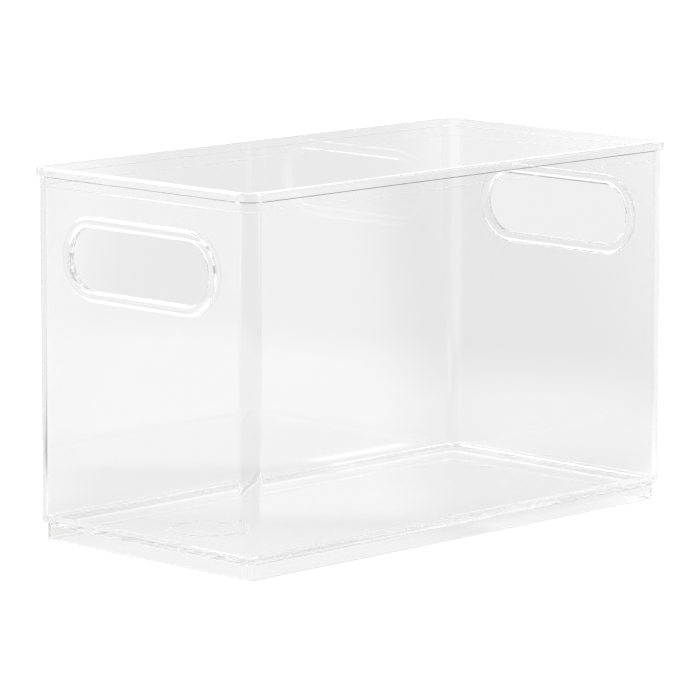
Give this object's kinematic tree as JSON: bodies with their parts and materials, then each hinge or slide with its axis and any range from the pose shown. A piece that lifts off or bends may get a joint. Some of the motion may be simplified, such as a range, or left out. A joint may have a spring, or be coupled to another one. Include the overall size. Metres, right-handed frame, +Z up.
{
  "type": "storage bin",
  "caption": "Deep rectangular clear plastic bin for a fridge shelf, open at the top, with a stepped stacking foot, a rim band and a lipped hand slot through each end.",
  "frame": {"origin": "centre of the footprint, on the surface the bin stands on", "axes": "+Z up, +X along the long side, the end with the floor mark at -X"},
  "size_m": [0.324, 0.167, 0.2],
  "materials": {
    "clear_plastic": "clear, polished injection moulding"
  },
  "bodies": {
    "root": {"floor_panel": "clear_plastic", "front_left_corner_post": "clear_plastic", "front_right_corner_post": "clear_plastic", "back_left_corner_post": "clear_plastic", "back_right_corner_post": "clear_plastic", "front_foot_rail": "clear_plastic", "front_wall": "clear_plastic", "front_rim_rail": "clear_plastic", "back_foot_rail": "clear_plastic", "back_wall": "clear_plastic", "back_rim_rail": "clear_plastic", "left_foot_rail": "clear_plastic", "left_wall": "clear_plastic", "left_rim_rail": "clear_plastic", "right_foot_rail": "clear_plastic", "right_wall": "clear_plastic", "right_rim_rail": "clear_plastic", "left_slot_lip": "clear_plastic", "right_slot_lip": "clear_plastic", "floor_mark": "clear_plastic"}
  },
  "joints": []
}
